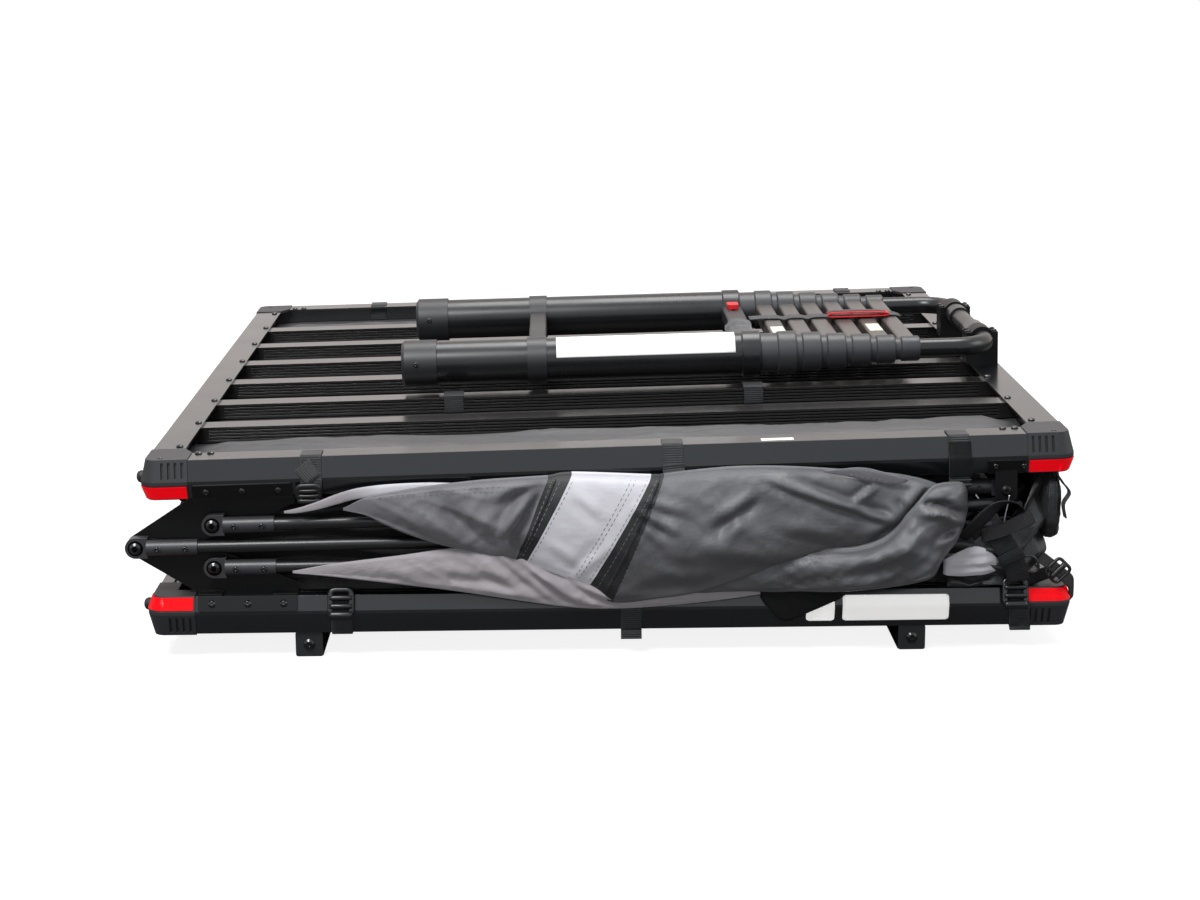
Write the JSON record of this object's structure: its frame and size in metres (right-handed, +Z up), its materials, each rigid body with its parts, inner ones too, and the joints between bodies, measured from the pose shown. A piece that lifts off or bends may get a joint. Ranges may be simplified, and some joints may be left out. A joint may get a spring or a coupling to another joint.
{
  "type": "roof top tent",
  "caption": "Fold-out roof top tent, closed: two hinged slatted half frames over a folded canopy on bows, with a telescopic ladder on top and slotted rails for roof bars.",
  "frame": {"origin": "centre of the outline, at the underside of the mounting rails", "axes": "+X along the fold, from the hinge end to the free end; +Y along the hinge; +Z up"},
  "size_m": [1.1766, 1.3192, 0.3378],
  "materials": {
    "anodised_aluminium": "satin brown-grey anodised",
    "black_aluminium": "satin black",
    "black_steel": "semi-gloss black",
    "black_plastic": "matt dark grey",
    "red_plastic": "glossy red",
    "black_webbing": "woven black",
    "canopy_fabric": "charcoal and light grey woven",
    "floor_fabric": "coated dark grey",
    "mattress_foam": "grey cover over foam",
    "black_rubber": "matt"
  },
  "bodies": {
    "lower_half": {"lower_side_rails": "anodised_aluminium", "lower_end_rails": "anodised_aluminium", "lower_slats": "anodised_aluminium", "lower_corner_caps": "black_plastic", "lower_buckles": "black_plastic", "lower_reflectors": "red_plastic", "lower_floor_cloth": "floor_fabric", "lower_mattress": "mattress_foam", "lower_hinge_plates": "black_steel", "lower_screws": "black_steel", "lower_bumpers": "black_rubber", "lower_straps": "black_webbing", "mount_rails": "black_aluminium", "mount_rail_caps": "black_plastic", "hinge_pins": "black_steel", "canopy": "canopy_fabric"},
    "upper_half": {"upper_side_rails": "anodised_aluminium", "upper_end_rails": "anodised_aluminium", "upper_slats": "anodised_aluminium", "upper_corner_caps": "black_plastic", "upper_buckles": "black_plastic", "upper_reflectors": "red_plastic", "upper_floor_cloth": "floor_fabric", "upper_mattress": "mattress_foam", "upper_hinge_plates": "black_steel", "upper_screws": "black_steel", "upper_bumpers": "black_rubber", "upper_straps": "black_webbing", "ladder_blocks": "black_aluminium", "ladder_block_caps": "black_aluminium", "entrance_brackets": "black_steel"},
    "lower_bow": {"lower_bow": "black_aluminium", "lower_bow_ends": "black_plastic"},
    "middle_bow": {"middle_bow": "black_aluminium", "middle_bow_ends": "black_plastic"},
    "upper_bow": {"upper_bow": "black_aluminium", "upper_bow_ends": "black_plastic"},
    "entrance_bow": {"entrance_bow": "black_aluminium", "entrance_bow_ends": "black_plastic"},
    "ladder_top": {"ladder_top_tube": "black_aluminium"},
    "ladder_stage_7": {"ladder_stage_7": "black_aluminium", "ladder_step_7": "anodised_aluminium", "ladder_tie_strap": "black_webbing"},
    "ladder_stage_6": {"ladder_stage_6": "black_aluminium", "ladder_step_6": "anodised_aluminium"},
    "ladder_stage_5": {"ladder_stage_5": "black_aluminium", "ladder_step_5": "anodised_aluminium"},
    "ladder_stage_4": {"ladder_stage_4": "black_aluminium", "ladder_step_4": "anodised_aluminium"},
    "ladder_stage_3": {"ladder_stage_3": "black_aluminium", "ladder_step_3": "anodised_aluminium"},
    "ladder_stage_2": {"ladder_stage_2": "black_aluminium", "ladder_step_2": "anodised_aluminium"},
    "ladder_base": {"ladder_base_tubes": "black_aluminium", "ladder_step_1": "anodised_aluminium", "ladder_fixed_step": "black_aluminium", "ladder_feet": "black_rubber"},
    "release_button_front": {"release_button_front": "red_plastic"},
    "release_button_back": {"release_button_back": "red_plastic"}
  },
  "joints": [
    {"name": "fold", "type": "hinge", "parent": "lower_half", "child": "upper_half", "pos_m": [-0.5751, 0, 0.142], "axis": [0, -1, 0], "range_deg": [0, 178.75], "deforming": ["canopy"]},
    {"name": "lower_bow_swing", "type": "hinge", "parent": "lower_half", "child": "lower_bow", "pos_m": [-0.4791, 0, 0.116], "axis": [0, -1, 0], "range_deg": [0, 44.69]},
    {"name": "middle_bow_swing", "type": "hinge", "parent": "lower_half", "child": "middle_bow", "pos_m": [-0.5751, 0, 0.142], "axis": [0, -1, 0], "range_deg": [0, 89.38]},
    {"name": "upper_bow_swing", "type": "hinge", "parent": "upper_half", "child": "upper_bow", "pos_m": [-0.47969, 0, 0.17009], "axis": [0, -1, 0], "range_deg": [-44.69, 0]},
    {"name": "entrance_bow_swing", "type": "hinge", "parent": "upper_half", "child": "entrance_bow", "pos_m": [0.50077, 0, 0.20549], "axis": [0, -1, 0], "range_deg": [0, 107.25]},
    {"name": "ladder_swing", "type": "hinge", "parent": "upper_half", "child": "ladder_top", "pos_m": [0.55295, 0, 0.31265], "axis": [0, 1, 0], "range_deg": [0, 120]},
    {"name": "ladder_stage_7_slide", "type": "slide", "parent": "ladder_top", "child": "ladder_stage_7", "axis": [-0.9998, 0, -0.0218], "range_m": [0, 0.2654]},
    {"name": "ladder_stage_6_slide", "type": "slide", "parent": "ladder_stage_7", "child": "ladder_stage_6", "axis": [-0.9998, 0, -0.0218], "range_m": [0, 0.2654]},
    {"name": "ladder_stage_5_slide", "type": "slide", "parent": "ladder_stage_6", "child": "ladder_stage_5", "axis": [-0.9998, 0, -0.0218], "range_m": [0, 0.2654]},
    {"name": "ladder_stage_4_slide", "type": "slide", "parent": "ladder_stage_5", "child": "ladder_stage_4", "axis": [-0.9998, 0, -0.0218], "range_m": [0, 0.2654]},
    {"name": "ladder_stage_3_slide", "type": "slide", "parent": "ladder_stage_4", "child": "ladder_stage_3", "axis": [-0.9998, 0, -0.0218], "range_m": [0, 0.2654]},
    {"name": "ladder_stage_2_slide", "type": "slide", "parent": "ladder_stage_3", "child": "ladder_stage_2", "axis": [-0.9998, 0, -0.0218], "range_m": [0, 0.2654]},
    {"name": "ladder_base_slide", "type": "slide", "parent": "ladder_stage_2", "child": "ladder_base", "axis": [-0.9998, 0, -0.0218], "range_m": [0, 0.25]},
    {"name": "release_button_front_slide", "type": "slide", "parent": "ladder_base", "child": "release_button_front", "axis": [0, 1, 0], "range_m": [0, 0.01], "stiffness_N_per_m": 300},
    {"name": "release_button_back_slide", "type": "slide", "parent": "ladder_base", "child": "release_button_back", "axis": [0, -1, 0], "range_m": [0, 0.01], "stiffness_N_per_m": 300}
  ],
  "couplings": [
    {"joint": "lower_bow_swing", "follows": "fold", "ratio": 0.25},
    {"joint": "middle_bow_swing", "follows": "fold", "ratio": 0.5},
    {"joint": "upper_bow_swing", "follows": "fold", "ratio": -0.25},
    {"joint": "entrance_bow_swing", "follows": "fold", "ratio": 0.6}
  ]
}
